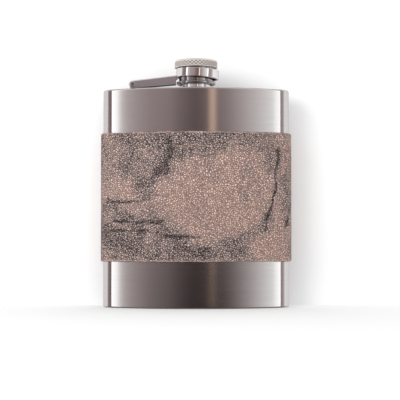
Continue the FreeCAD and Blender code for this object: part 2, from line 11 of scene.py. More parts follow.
import bpy
import numpy as np
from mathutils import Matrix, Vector


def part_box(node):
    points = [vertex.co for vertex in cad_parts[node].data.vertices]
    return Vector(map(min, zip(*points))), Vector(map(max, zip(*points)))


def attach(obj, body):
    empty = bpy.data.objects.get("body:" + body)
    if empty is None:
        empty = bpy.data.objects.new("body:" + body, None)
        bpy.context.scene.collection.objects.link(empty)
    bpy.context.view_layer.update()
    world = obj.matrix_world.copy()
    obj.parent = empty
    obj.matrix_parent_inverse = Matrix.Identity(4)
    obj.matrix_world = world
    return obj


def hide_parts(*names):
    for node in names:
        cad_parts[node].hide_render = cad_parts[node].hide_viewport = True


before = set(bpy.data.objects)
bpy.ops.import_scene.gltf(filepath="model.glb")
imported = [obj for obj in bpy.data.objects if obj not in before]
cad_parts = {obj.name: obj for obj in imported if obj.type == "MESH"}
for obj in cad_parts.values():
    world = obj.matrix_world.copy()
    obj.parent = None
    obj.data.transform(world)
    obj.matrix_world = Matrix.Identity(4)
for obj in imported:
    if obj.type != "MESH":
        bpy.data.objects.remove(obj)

MM = 0.001
LOG = logging.getLogger("hip_flask")
Colour = tuple[float, float, float]
Span = tuple[float, float]
Line = tuple[Span, ...]
Value = Union["Wire", float, int, Sequence[float]]


class Body(Enum):
    """The rigid bodies that the pieces made here ride on."""

    FLASK = "flask"
    CAP = "cap"


class Slot(Enum):
    """Names of the record's material slots for the pieces made here; no piece here is given one."""

    KNURLED = "knurled_steel"
    LEATHER = "leather"
    THREAD = "thread"


class Blend(Enum):
    """How two colours are put together."""

    MIX = "MIX"
    MULTIPLY = "MULTIPLY"


# ---- shader graphs ----


class Wire:
    """An output of a node. Arithmetic on it adds Math nodes to its graph."""

    def __init__(self, graph: "Graph", socket: bpy.types.NodeSocket) -> None:
        """Wraps a socket of a graph's node.

        Args:
            graph: the graph that the socket belongs to.
            socket: the output socket.
        """
        self.graph = graph
        self.socket = socket

    def __add__(self, other: Value) -> "Wire":
        """The sum."""
        return self.graph.math("ADD", self, other)

    def __radd__(self, other: Value) -> "Wire":
        """The sum."""
        return self.graph.math("ADD", other, self)

    def __sub__(self, other: Value) -> "Wire":
        """The difference."""
        return self.graph.math("SUBTRACT", self, other)

    def __rsub__(self, other: Value) -> "Wire":
        """The difference, with the number first."""
        return self.graph.math("SUBTRACT", other, self)

    def __mul__(self, other: Value) -> "Wire":
        """The product."""
        return self.graph.math("MULTIPLY", self, other)

    def __truediv__(self, other: Value) -> "Wire":
        """The quotient."""
        return self.graph.math("DIVIDE", self, other)

    def smooth(self, low: float, high: float, start: float = 0.0, end: float = 1.0) -> "Wire":
        """Carries low..high smoothly to start..end, and holds it there outside.

        Args:
            low: the value that becomes start.
            high: the value that becomes end.
            start: the result at low.
            end: the result at high.

        Returns:
            The carried value.
        """
        flipped = low > high
        values = (high, low, end, start) if flipped else (low, high, start, end)
        names = ("From Min", "From Max", "To Min", "To Max")
        return self.graph.node("ShaderNodeMapRange", {"interpolation_type": "SMOOTHSTEP"},
                               {"Value": self, **dict(zip(names, values))})


class Graph:
    """The node tree of a material or of the world."""

    def __init__(self, tree: bpy.types.NodeTree) -> None:
        """Empties a tree.

        Args:
            tree: the node tree to fill.
        """
        self.tree = tree
        tree.nodes.clear()

    def node(self, kind: str, settings: dict[str, Any] | None = None,
             inputs: dict[Any, Value] | None = None, output: Any = 0) -> Wire:
        """Adds any node: its settings first, then its sockets.

        Args:
            kind: the node's type.
            settings: its properties; "stops" gives a ramp's (position, colour) pairs.
            inputs: values or wires, by socket name or number.
            output: the output socket to return, by name or number.

        Returns:
            The wire of that output.
        """
        made = self.tree.nodes.new(kind)
        for name, value in (settings or {}).items():
            if name == "stops":
                self.fill_ramp(made.color_ramp, value)
            else:
                setattr(made, name, value)
        for key, value in (inputs or {}).items():
            if isinstance(value, Wire):
                self.tree.links.new(value.socket, made.inputs[key])
            else:
                made.inputs[key].default_value = value
        outputs = made.outputs
        return Wire(self, outputs[output]) if len(outputs) else Wire(self, None)

    @staticmethod
    def fill_ramp(ramp: bpy.types.ColorRamp, stops: Sequence[tuple[float, Sequence[float]]]) -> None:
        """Puts the stops into a colour ramp.

        Args:
            ramp: the ramp, new, with its two first stops.
            stops: positions from 0 to 1 in rising order, each with its colour.
        """
        while len(ramp.elements) < len(stops):
            ramp.elements.new(1.0)
        for element, (position, colour) in zip(ramp.elements, stops):
            element.position = position
            element.color = (*colour, 1.0)

    def math(self, operation: str, *values: Value) -> Wire:
        """A Math node on values and wires.

        Args:
            operation: the node's operation.
            values: its operands in order.

        Returns:
            The result.
        """
        return self.node("ShaderNodeMath", {"operation": operation}, dict(enumerate(values)))

    def mix(self, factor: Value, first: Value, second: Value, blend: Blend = Blend.MIX) -> Wire:
        """Two colours put together.

        Args:
            factor: the share of the second colour.
            first: the first colour or its wire.
            second: the second colour or its wire.
            blend: how they are combined.

        Returns:
            The colour.
        """
        def opaque(value: Value) -> Value:
            """A plain colour gets its fourth number."""
            return value if isinstance(value, Wire) else (*value, 1.0)

        settings = {"data_type": "RGBA", "blend_type": blend.value, "clamp_factor": True}
        return self.node("ShaderNodeMix", settings, {0: factor, 6: opaque(first), 7: opaque(second)}, 2)

    def place(self, stretch: Sequence[float] = (1.0, 1.0, 1.0)) -> Wire:
        """Object coordinates, stretched along each axis.

        Args:
            stretch: the scale of each axis.

        Returns:
            The vector.
        """
        where = self.node("ShaderNodeTexCoord", output="Object")
        return self.node("ShaderNodeMapping", {"vector_type": "POINT"}, {"Vector": where, "Scale": stretch})

    def noise(self, vector: Wire, scale: float, detail: float = 3.0, roughness: float = 0.55,
              distortion: float = 0.0) -> Wire:
        """Fractal noise from 0 to 1.

        Args:
            vector: where it is read.
            scale: cells per metre.
            detail: octaves.
            roughness: strength of each finer octave.
            distortion: how far it is warped.

        Returns:
            The value.
        """
        return self.node("ShaderNodeTexNoise", {"noise_dimensions": "3D"},
                         {"Vector": vector, "Scale": scale, "Detail": detail, "Roughness": roughness,
                          "Distortion": distortion}, "Fac")

    def cells(self, vector: Wire, scale: float) -> Wire:
        """Distance to the nearest border in a pattern of uneven cells.

        Args:
            vector: where it is read.
            scale: cells per metre.

        Returns:
            The distance.
        """
        return self.node("ShaderNodeTexVoronoi", {"feature": "DISTANCE_TO_EDGE"},
                         {"Vector": vector, "Scale": scale, "Randomness": 1.0}, "Distance")

    def attribute(self, name: str) -> Wire:
        """A number kept on the mesh's points."""
        return self.node("ShaderNodeAttribute", {"attribute_name": name}, output="Fac")

    def bump(self, height: Wire, distance: float) -> Wire:
        """A bump normal.

        Args:
            height: the height field.
            distance: height in metres of a step from 0 to 1.

        Returns:
            The normal.
        """
        return self.node("ShaderNodeBump", {}, {"Height": height, "Distance": distance}, "Normal")


@dataclass(frozen=True)
class Finish:
    """A surface finish, made once as a material."""

    name: str

    def material(self) -> bpy.types.Material:
        """Makes the material, or finds it if it was made before.

        Returns:
            The material.
        """
        found = bpy.data.materials.get(self.name)
        if found is not None:
            return found
        made = bpy.data.materials.new(self.name)
        made.use_nodes = True
        graph = Graph(made.node_tree)
        shader = graph.node("ShaderNodeBsdfPrincipled", {}, self.sockets(graph))
        graph.node("ShaderNodeOutputMaterial", {}, {"Surface": shader})
        return made

    def sockets(self, graph: Graph) -> dict[Any, Value]:
        """What the shader's sockets get; each finish has its own."""
        raise NotImplementedError


@dataclass(frozen=True)
class Steel(Finish):
    """Stainless steel with fine lines all one way, light handling marks and a little uneven tone."""

    tint: Colour = (0.66, 0.645, 0.64)
    roughness: float = 0.18
    anisotropy: float = 0.85
    turn: float = 0.25
    line_stretch: tuple[float, float, float] = (0.02, 0.02, 1.0)
    lines_per_metre: float = 5200.0
    line_depth: float = 0.0000015
    line_tone: float = 0.3
    contrast: float = 0.28
    wear: float = 0.05
    bare: float = 1.0

    def sockets(self, graph: Graph) -> dict[Any, Value]:
        """Long thin noise for the brushed lines, in colour, roughness and bump, under soft smudges.

        Args:
            graph: the material's graph.

        Returns:
            The shader's sockets.
        """
        along = graph.place(self.line_stretch)
        fine = graph.noise(along, self.lines_per_metre, 2.0, 0.6)
        broad = graph.noise(along, self.lines_per_metre / 6, 3.0, 0.55)
        lines = fine * 0.6 + broad * 0.4
        smudge = graph.noise(graph.place(), 45.0, 3.0, 0.6)
        tone = (lines - 0.5) * self.line_tone + (smudge - 0.5) * self.wear + 0.5
        dark = tuple(c * (1 - self.contrast) for c in self.tint)
        bright = tuple(min(1.0, c * (1 + self.contrast)) for c in self.tint)
        return {
            "Base Color": graph.mix(tone, dark, bright),
            "Metallic": self.bare,
            "Roughness": (self.roughness * 0.8 + lines * (self.roughness * 0.3)
                          + smudge * (self.roughness * 0.1)),
            "Anisotropic": self.anisotropy,
            "Anisotropic Rotation": self.turn,
            "Normal": graph.bump(lines, self.line_depth),
        }


@dataclass(frozen=True)
class KnurledSteel(Steel):
    """Steel with painted shade in the cuts of its knurl and a painted highlight on its crests. The mesh's
    groove value is -1 on its plain parts."""

    # Painted shade for the cuts, and a painted highlight for the crests.
    groove_shade: Colour = (0.09, 0.07, 0.055)
    crest_highlight: Colour = (1.0, 0.93, 0.89)
    cut_edge: Span = (0.42, 0.72)
    dulled: float = 0.85

    def sockets(self, graph: Graph) -> dict[Any, Value]:
        """The plain steel's sockets, with the colour led by the mesh's groove value.

        Args:
            graph: the material's graph.

        Returns:
            The shader's sockets.
        """
        plain = super().sockets(graph)
        groove = graph.attribute("groove")
        knurled = groove.smooth(-0.7, -0.1)
        # Painted shade darkens the knurl's cuts and a painted highlight lightens its crests.
        cuts = graph.mix(groove.smooth(*self.cut_edge), self.crest_highlight, self.groove_shade)
        return {
            **plain,
            "Base Color": graph.mix(knurled, plain["Base Color"], cuts),
            "Metallic": 1.0 - knurled * self.dulled,
            "Roughness": plain["Roughness"] + groove.smooth(0.0, 1.0) * 0.2,
        }


@dataclass(frozen=True)
class Leather(Finish):
    """Two-tone rubbed leather: pink tan over a pebbled grain, with dark dye left in its hollows, painted
    shade in its creases and at its sides, dark cut edges that also paint their contact shadow, and a painted
    highlight along its rims."""

    tan: Colour = (0.45, 0.302, 0.256)
    pale: Colour = (0.71, 0.492, 0.424)
    ash: Colour = (0.485, 0.372, 0.342)
    # Nearly black, for the dye stains and hollows and for the painted shade in the creases and at the sides.
    dye_and_shade: Colour = (0.022, 0.016, 0.017)
    # Dark cut edges: partly edge paint, partly painted contact shadow.
    cut: Colour = (0.11, 0.075, 0.062)
    grain_per_metre: float = 1020.0
    patches_per_metre: float = 75.0
    clouds_per_metre: float = 260.0
    grain_depth: float = 0.0004
    hollow_reach: float = 0.27
    soak: float = 1.9
    patchiness: float = 0.5
    cloudiness: float = 0.7
    full_dye: float = 0.82
    # Painted highlight along the rims, just inside the dark cut edges.
    rim_highlight: float = 0.55
    shine: float = 0.16

    def sockets(self, graph: Graph) -> dict[Any, Value]:
        """Pebbles with dye in the hollows between them: a trace where the leather is clean, and nearly black
        where the mesh's smudge value is high; that value also carries painted shade in the creases and at the
        sides. The cut edges are burnished dark in dashes that also paint the contact shadow along them, with
        a painted highlight just inside them.

        Args:
            graph: the material's graph.

        Returns:
            The shader's sockets.
        """
        where = graph.place()
        rib = graph.cells(where, self.grain_per_metre)
        micro = graph.noise(where, self.grain_per_metre * 1.4, 2.0, 0.6)
        patch = graph.noise(where, self.patches_per_metre, 5.0, 0.62, 0.6)
        cloud = graph.noise(where, self.clouds_per_metre, 4.0, 0.65, 0.3)
        # The smudge value carries dye stains and also painted shade in the creases and at the sides.
        smudge = graph.attribute("smudge")
        edge = graph.attribute("edge")
        hollow = (rib + (micro - 0.5) * 0.5).smooth(self.hollow_reach, 0.05)
        stain_and_shade = smudge * self.soak + (patch - 0.5) * self.patchiness + (cloud - 0.5) * self.cloudiness
        filled = hollow * stain_and_shade.smooth(-0.2, 0.9, 0.5, 1.0)
        dyed_and_shaded = graph.math("MAXIMUM", filled, stain_and_shade.smooth(0.45, 1.6, 0.0, self.full_dye))
        clean = graph.mix(hollow, self.pale, self.tan)
        base = graph.mix(stain_and_shade.smooth(-0.1, 0.7), clean, self.ash)
        shown = graph.mix(dyed_and_shaded, base, self.dye_and_shade)
        # Painted highlight: the rims are lightened towards pale.
        rim = graph.mix(edge.smooth(0.1, 0.6, 0.0, self.rim_highlight), shown, self.pale)
        # Dark edge dashes: partly burnished edge, partly painted contact shadow.
        edge_paint_and_contact_shadow = edge.smooth(0.55, 0.95) * cloud.smooth(0.4, 0.54, 0.35, 0.95)
        relief = rib.smooth(0.0, 0.35) + micro * 0.3
        return {
            "Base Color": graph.mix(edge_paint_and_contact_shadow, rim, self.cut),
            "Roughness": 0.6 - dyed_and_shaded * 0.12 + micro * 0.1,
            "Specular IOR Level": self.shine,
            "Normal": graph.bump(relief, self.grain_depth),
        }


@dataclass(frozen=True)
class Thread(Finish):
    """Waxed linen thread with its twist."""

    tint: Colour = (0.10, 0.07, 0.055)
    strands_scale: float = 900.0
    strand_depth: float = 0.00004

    def sockets(self, graph: Graph) -> dict[Any, Value]:
        """Fine slanted strands.

        Args:
            graph: the material's graph.

        Returns:
            The shader's sockets.
        """
        strands = graph.node("ShaderNodeTexWave", {"bands_direction": "DIAGONAL"},
                             {"Vector": graph.place(), "Scale": self.strands_scale, "Distortion": 1.5}, "Fac")
        dark, bright = tuple(c * 0.5 for c in self.tint), tuple(c * 1.5 for c in self.tint)
        return {
            "Base Color": graph.mix(strands, dark, bright),
            "Roughness": 0.45 + strands * 0.2,
            "Normal": graph.bump(strands, self.strand_depth),
        }


@dataclass(frozen=True)
class Silicone(Finish):
    """The milky sealing disc."""

    tint: Colour = (0.78, 0.77, 0.74)

    def sockets(self, graph: Graph) -> dict[Any, Value]:
        """A cloudy white.

        Args:
            graph: the material's graph.

        Returns:
            The shader's sockets.
        """
        cloud = graph.noise(graph.place(), 350.0, 3.0)
        return {
            "Base Color": graph.mix(cloud, tuple(c * 0.9 for c in self.tint), self.tint),
            "Roughness": 0.4 + cloud * 0.15,
            "Subsurface Weight": 0.2,
            "Subsurface Scale": 0.001,
            "Normal": graph.bump(cloud, 0.00002),
        }


# ---- meshes ----


def grid_faces(across: int, along: int, closed_across: bool, closed_along: bool) -> np.ndarray:
    """The quads of a grid of points whose number is i * along + j.

    Args:
        across: count of i.
        along: count of j.
        closed_across: the last i joins the first.
        closed_along: the last j joins the first.

    Returns:
        An array of four point numbers per quad; i turned into j gives the outward side.
    """
    i = np.arange(across if closed_across else across - 1)[:, None]
    j = np.arange(along if closed_along else along - 1)[None, :]
    next_i, next_j = (i + 1) % across, (j + 1) % along
    corners = [i * along + j, next_i * along + j, next_i * along + next_j, i * along + next_j]
    return np.stack([np.broadcast_to(c, (i.size, j.size)) for c in corners], axis=-1).reshape(-1, 4)


def make_piece(name: str, points: np.ndarray, faces: list[list[int]], body: Body,
               finish: Finish, stands_for: str, values: dict[str, np.ndarray] | None = None,
               sharp: float = 40.0) -> bpy.types.Object:
    """Makes a mesh in place, smooth but for its sharp edges, and fastens it to its body.

    Args:
        name: the piece's name.
        points: its points in millimetres, one row each.
        faces: the point numbers of each face.
        body: the body that it rides on.
        finish: its finish.
        stands_for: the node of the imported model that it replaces.
        values: numbers kept on its points, by name.
        sharp: the angle in degrees above which an edge stays sharp.

    Returns:
        The object.
    """
    mesh = bpy.data.meshes.new(name)
    mesh.from_pydata((points * MM).tolist(), [], faces)
    mesh.polygons.foreach_set("use_smooth", np.ones(len(mesh.polygons), bool))
    mesh.set_sharp_from_angle(angle=math.radians(sharp))
    for key, numbers in (values or {}).items():
        mesh.attributes.new(key, "FLOAT", "POINT").data.foreach_set("value", numbers.astype(np.float32))
    mesh.materials.append(finish.material())
    mesh.update()
    piece = bpy.data.objects.new(name, mesh)
    bpy.context.scene.collection.objects.link(piece)
    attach(piece, body.value)
    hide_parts(stands_for)
    LOG.info("%s: %d points, %d faces, on %s", name, len(points), len(faces), body.value)
    return piece


def dress(node: str, finish: Finish) -> None:
    """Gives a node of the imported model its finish.

    Args:
        node: the node's name.
        finish: its finish.
    """
    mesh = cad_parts[node].data
    mesh.materials.clear()
    mesh.materials.append(finish.material())
    LOG.info("%s: dressed as %s", node, finish.name)


# Corners along each side of a noise net, and the one at the origin.
NET_SIZE, NET_ORIGIN = 256, 40.0


def patchwork(u: np.ndarray, v: np.ndarray, cell: float, seed: int) -> np.ndarray:
    """Smooth noise: a random number at each corner of a square net, eased between the corners.

    Args:
        u: first coordinates.
        v: second coordinates, of the same shape.
        cell: the width of the net's squares, in the same units.
        seed: which net.

    Returns:
        Values from -1 to 1.
    """
    rng = np.random.default_rng(seed)
    net = rng.uniform(-1.0, 1.0, (NET_SIZE, NET_SIZE))
    a, b = u / cell + NET_ORIGIN, v / cell + NET_ORIGIN
    i, j = np.floor(a).astype(int), np.floor(b).astype(int)
    p, q = a - i, b - j
    p, q = p * p * (3 - 2 * p), q * q * (3 - 2 * q)
    i, j, next_i, next_j = (n % NET_SIZE for n in (i, j, i + 1, j + 1))
    low = net[i, j] * (1 - p) + net[next_i, j] * p
    high = net[i, next_j] * (1 - p) + net[next_i, next_j] * p
    return low * (1 - q) + high * q


def ease(value: np.ndarray, low: float, high: float) -> np.ndarray:
    """Smoothstep from 0 at low to 1 at high."""
    t = np.clip((value - low) / (high - low), 0.0, 1.0)
    return t * t * (3 - 2 * t)


@dataclass
class Section:
    """The flask's curved section in millimetres: a convex front arc, two corners, two short
    straight sides, two back corners and a concave back arc, all tangent."""

    width: float
    depth: float
    front_corner: float = 9.25
    back_corner: float = 4.5
    back_radius: float = 160.0
    side_flat: float = 1.56

    def stretches(self, grow: float) -> list[tuple[float, float, float, float, float, float]]:
        """The arcs from the middle of the back round by the left, the front and the right.

        Args:
            grow: how far outside the section.

        Returns:
            For each: centre x and y, radius, first and last angle, and 1 where the outward side is
            away from the centre, or -1. A straight side has radius 0 and its two ends' y as angles.
        """
        half = self.width / 2
        near_x, near_y = half - self.front_corner, self.depth / 2 - self.back_corner - self.side_flat
        rise = self.depth / 2 + near_y
        front = (near_x ** 2 + rise ** 2 - self.front_corner ** 2) / (2 * (rise - self.front_corner))
        far_x, far_y = half - self.back_corner, self.depth / 2 - self.back_corner
        reach = self.back_radius + self.back_corner
        back_y = far_y + math.sqrt(reach ** 2 - far_x ** 2)
        front_y = front - self.depth / 2
        swing = math.atan2(near_x, front_y - near_y)
        lean = math.atan2(far_x, back_y - far_y)
        down, quarter = -math.pi / 2, math.pi / 2
        near, far = self.front_corner + grow, self.back_corner + grow
        return [
            (0.0, back_y, self.back_radius - grow, down, down - lean, -1),
            (-far_x, far_y, far, quarter - lean, math.pi, 1),
            (-half - grow, 0.0, 0.0, far_y, near_y, -1),
            (-near_x, near_y, near, math.pi, 2 * math.pi + down - swing, 1),
            (0.0, front_y, front + grow, down - swing, down + swing, 1),
            (near_x, near_y, near, down + swing, 0.0, 1),
            (half + grow, 0.0, 0.0, near_y, far_y, 1),
            (far_x, far_y, far, 0.0, quarter + lean, 1),
            (0.0, back_y, self.back_radius - grow, down + lean, down, -1),
        ]

    def trace(self, grow: float, step: float) -> tuple[np.ndarray, np.ndarray, np.ndarray]:
        """Points along the section, from the middle of the back and once round.

        Args:
            grow: how far outside the section.
            step: the distance between points, about.

        Returns:
            The points, their outward directions, and their distance along the line.
        """
        spots, outs = [], []
        for x, y, radius, first, last, side in self.stretches(grow):
            length = abs(last - first) * (radius if radius else 1.0)
            share = np.linspace(0.0, 1.0, max(2, round(length / step) + 1))[:-1]
            at = first + (last - first) * share
            if radius:
                ray = np.stack([np.cos(at), np.sin(at)], axis=1)
                spots.append(np.array([x, y]) + radius * ray)
                outs.append(side * ray)
            else:
                spots.append(np.stack([np.full_like(at, x), at], axis=1))
                outs.append(np.tile([float(side), 0.0], (len(at), 1)))
        spot = np.concatenate([*spots, spots[0][:1]])
        out = np.concatenate([*outs, outs[0][:1]])
        gone = np.concatenate([[0.0], np.cumsum(np.linalg.norm(np.diff(spot, axis=0), axis=1))])
        return spot, out, gone


# ---- the flask's body ----


@dataclass
class SteelBody:
    """The tube, its two end plates, the neck and the hinge bracket."""

    brushed: Steel = Steel("brushed_tube")
    plate: Steel = Steel("brushed_plate", roughness=0.17, anisotropy=0.75)
    # Painted light: the tint is raised well above the tube's so that the neck and bracket stay bright in the
    # collar's shade.
    turned: Steel = Steel("turned_neck_painted_light", tint=(0.93, 0.91, 0.9), roughness=0.09, anisotropy=0.6, bare=0.8,
                          line_stretch=(0.1, 0.1, 1.0))

    def build(self) -> None:
        """Dresses the metal of the body."""
        dress("body_shell", self.brushed)
        dress("top_plate", self.plate)
        dress("bottom_plate", self.plate)
        dress("neck", self.turned)
        dress("hinge_bracket", self.turned)


@dataclass
class LeatherWrap:
    """A leather band round the body, its ends butted at the middle of the back, sewn there."""

    section: Section
    base: float
    height: float
    thickness: float = 1.2
    glue: float = 0.05
    seam: float = 0.3
    edge_round: float = 0.45
    step: float = 0.45
    edge_wave: float = 0.22
    swell: float = 0.07
    crease_depth: float = 0.16
    crease_width: float = 0.6
    # Painted shade: how much the creases are darkened through the smudge value.
    crease_shade: float = 0.75
    free_dye: float = 0.42
    rim_dye: float = 0.12
    rim_reach: float = 5.0

    # Marks on the front, each a line of (x, z) in millimetres from the wrap's middle, with its half width and
    # its strength. The last two, full height at the sides, are painted shade; the rest are dye stains.
    MARKS: ClassVar[tuple[tuple[Line, float, float], ...]] = (
        (((-14.0, 28.0), (-13.0, 19.8), (-15.7, 15.2), (-19.7, 11.7)), 3.4, 0.68),
        (((-17.0, 29.0), (-15.5, 18.0), (-21.0, 11.0), (-25.0, 5.0)), 6.5, 0.36),
        (((-36.0, 29.0), (-5.5, 27.5), (16.0, 31.0)), 5.0, 0.34),
        (((-34.0, 27.0), (-30.0, 19.0), (-34.0, 14.0)), 7.0, 0.36),
        (((-10.0, 20.3), (-3.0, 21.0), (4.0, 22.5), (13.0, 26.0)), 4.5, 0.32),
        (((-42.0, 24.0), (-44.5, 10.0)), 6.0, 0.2),
        (((-45.0, -5.0), (-34.0, -9.0)), 5.5, 0.32),
        (((-48.0, -15.0), (-41.0, -21.6), (-31.8, -26.7)), 8.0, 0.44),
        (((-34.0, -10.0), (-29.0, -15.0), (-31.0, -26.0)), 5.0, 0.36),
        (((-24.0, -12.0), (-12.0, -19.0), (-20.0, -26.0)), 7.5, 0.26),
        (((-28.0, -27.7), (-0.5, -28.7), (19.7, -27.7)), 5.0, 0.34),
        (((-9.0, -23.0), (-3.0, -27.0), (5.0, -28.5)), 4.6, 0.56),
        (((15.7, -25.0), (22.7, -28.7)), 4.4, 0.4),
        (((18.7, -24.6), (25.8, -19.6), (31.3, -15.5), (36.4, -11.5)), 3.6, 0.26),
        (((31.3, -14.5), (33.8, -17.7)), 2.4, 0.3),
        (((43.4, 8.7), (48.0, -5.5)), 4.5, 0.28),
        (((24.0, 29.0), (40.0, 22.5), (37.0, 17.0)), 5.5, 0.26),
        (((26.8, 22.3), (27.3, 15.3), (25.3, 9.2)), 2.0, 0.14),
        (((41.0, 23.5), (39.0, 0.5)), 2.2, 0.1),
        (((23.7, 26.9), (24.4, 26.2)), 1.1, 0.4),
        # These two marks are painted shade at the sides, not stains.
        (((-48.0, 30.0), (-48.0, -30.0)), 2.8, 0.3),
        (((49.0, 30.0), (49.0, -30.0)), 2.0, 0.15),
    )
    # Fine creases on the front, in the same way.
    CREASES: ClassVar[tuple[Line, ...]] = (
        ((-43.5, -1.5), (-38.0, -2.5), (-30.0, -2.0), (-23.0, -1.5)),
        ((-41.0, -12.0), (-33.5, -12.5), (-26.0, -12.0), (-16.0, -12.5)),
        ((-47.0, -17.5), (-42.0, -17.0), (-30.5, -16.5), (-24.0, -16.5), (-17.5, -18.0), (-13.0, -19.5),
         (1.0, -20.5)),
        ((41.0, 23.5), (40.5, 16.5), (39.5, 7.5), (39.0, 0.5), (37.0, -6.5), (35.5, -10.0), (34.5, -16.0)),
        ((47.0, -5.5), (45.0, -14.5)),
    )

    @staticmethod
    def along_line(x: np.ndarray, z: np.ndarray, line: Line) -> np.ndarray:
        """Distance from points to a broken line: the nearest of its straight parts.

        Args:
            x: first coordinates.
            z: second coordinates.
            line: the line's corners.

        Returns:
            The distances.
        """
        nearest = np.full(x.shape, np.inf)
        for (ax, az), (bx, bz) in zip(line, line[1:]):
            dx, dz = bx - ax, bz - az
            share = np.clip(((x - ax) * dx + (z - az) * dz) / (dx * dx + dz * dz), 0.0, 1.0)
            nearest = np.minimum(nearest, np.hypot(x - ax - share * dx, z - az - share * dz))
        return nearest

    @staticmethod
    def stray(x: np.ndarray, z: np.ndarray, broad: Span, fine: Span,
              seed: int) -> tuple[np.ndarray, np.ndarray]:
        """Shifts points by a broad and a fine noise, so that a line drawn among them wanders.

        Args:
            x: across.
            z: up from the wrap's middle.
            broad: the broad noise's reach and cell in millimetres.
            fine: the same of the fine noise.
            seed: the first of four nets.

        Returns:
            The shifted x and z.
        """
        def shift(first: int) -> np.ndarray:
            """The two noises together."""
            return broad[0] * patchwork(x, z, broad[1], first) + fine[0] * patchwork(x, z, fine[1], first + 1)

        return x + shift(seed), z + shift(seed + 2)

    def creases(self, x: np.ndarray, z: np.ndarray, front: np.ndarray) -> np.ndarray:
        """How deep in a crease each point is, from 0 to 1: a bell curve of its distance from the
        nearest crease, faded here and there by a slow noise.

        Args:
            x: across.
            z: up from the wrap's middle.
            front: 1 on the front, 0 on the back.

        Returns:
            The depths.
        """
        wander_x, wander_z = self.stray(x, z, (0.9, 5.0), (0.35, 1.8), 11)
        deep = np.zeros_like(x)
        for line in self.CREASES:
            away = self.along_line(wander_x, wander_z, line)
            deep = np.maximum(deep, np.exp(-(away / self.crease_width) ** 2))
        fading = 0.25 + 0.75 * ease(patchwork(x, z, 4.5, 27), -0.7, 0.5)
        return deep * fading * front

    def smudges(self, x: np.ndarray, z: np.ndarray, along: np.ndarray, front: np.ndarray) -> np.ndarray:
        """How much dye and painted shade each point gets, from 0 to 1: the strongest of the marks, each a
        bell curve of the distance from its line, or of the loose streaks, and a little more at the top. The
        two marks that run the full height at the sides are painted shade; the others are dye stains.

        Args:
            x: across.
            z: up from the wrap's middle.
            along: distance round the section.
            front: 1 on the front, 0 on the back.

        Returns:
            The amounts.
        """
        wander_x, wander_z = self.stray(x, z, (2.2, 6.0), (0.8, 2.2), 21)
        dye_and_shade = np.zeros_like(x)
        for line, reach, strength in self.MARKS:
            away = self.along_line(wander_x, wander_z, line)
            dye_and_shade = np.maximum(dye_and_shade, strength * np.exp(-(away / reach) ** 2))
        streak = 0.5 + 0.5 * patchwork(along + 0.5 * z, 0.35 * z, 4.5, 25)
        cloud = 0.5 + 0.5 * patchwork(along, z, 13.0, 26)
        free = self.free_dye * ease(streak * cloud, 0.3, 0.8) * (1.0 - 0.6 * front)
        rim = self.rim_dye * ease(z, self.height / 2 - self.rim_reach, self.height / 2)
        return np.clip(np.maximum(dye_and_shade * front, free) + rim, 0.0, 1.0)

    def oblong(self) -> np.ndarray:
        """The band's cut section: lift from the steel and height over the band's middle, up the
        outer face, over the rounded upper edge, down the inner face and round the lower edge.

        Returns:
            The points, in millimetres.
        """
        half, r = self.height / 2, self.edge_round
        face_z = np.linspace(-half + r, half - r, round(self.height / self.step))
        outer = np.stack([np.full_like(face_z, self.thickness), face_z], axis=1)
        turn = np.linspace(0.0, math.pi / 2, 5)[1:]
        upper = np.stack([self.thickness - r + r * np.cos(turn), half - r + r * np.sin(turn)], axis=1)
        inner = np.array([[0.0, half], [0.0, half / 3], [0.0, -half / 3], [0.0, -half]])
        lower = upper[::-1] * np.array([1.0, -1.0])
        return np.concatenate([outer, upper, inner, lower])

    def build(self) -> bpy.types.Object:
        """Carries the oblong round the section from one side of the seam to the other, and lifts
        its outer face by slow swells, less the creases.

        Returns:
            The wrap.
        """
        middle, half = self.base + self.height / 2, self.height / 2
        spot, out, along = self.section.trace(self.glue, self.step)
        gap = self.seam / 2
        along[0], along[-1] = along[0] + gap, along[-1] - gap
        spot = spot.copy()
        spot[0, 0], spot[-1, 0] = -gap, gap

        profile = self.oblong()
        shape = (len(spot), len(profile))
        lift, z = (np.broadcast_to(part, shape).copy() for part in profile.T)
        far = np.broadcast_to(along[:, None], shape)
        x = np.broadcast_to(spot[:, None, 0], shape)
        front = ease(-np.broadcast_to(out[:, None, 1], shape), -0.3, 0.1)
        deep = self.creases(x, z, front)
        dye_and_shade = self.smudges(x, z, far, front)
        outside = ease(lift, self.thickness * 0.5, self.thickness)
        swell = self.swell * patchwork(far, z, 8.0, 31) + 0.4 * self.swell * patchwork(far, z, 2.4, 32)
        lift += outside * (swell - self.crease_depth * deep)
        wave = patchwork(far, np.sign(z) * 50.0, 14.0, 33) + 0.5 * patchwork(far, np.sign(z) * 50.0, 5.0, 34)
        z += self.edge_wave * wave * ease(np.abs(z), half * 0.6, half) * np.sign(z)

        plan = spot[:, None, :] + out[:, None, :] * lift[:, :, None]
        points = np.concatenate([plan, (middle + z)[:, :, None]], axis=2).reshape(-1, 3)
        faces = grid_faces(*shape, False, True).tolist()
        count = len(profile)
        faces.append(list(range(count)))
        faces.append(list(range(shape[0] * count - 1, (shape[0] - 1) * count - 1, -1)))
        edge = 1.0 - ease(half - np.abs(z), 0.1, 0.7)
        inside = 1.0 - ease(lift, 0.2 * self.thickness, 0.9 * self.thickness)
        values = {
            # The smudge value holds the dye stains, the painted side shade and painted shade in the creases.
            "smudge": np.clip(dye_and_shade + self.crease_shade * deep, 0.0, 1.0).ravel(),
            "edge": np.maximum(edge, inside).ravel(),
        }
        wrap = make_piece("wrap_leather", points, faces, Body.FLASK, Leather("rubbed_leather"),
                          "leather_wrap", values, sharp=60.0)
        return wrap


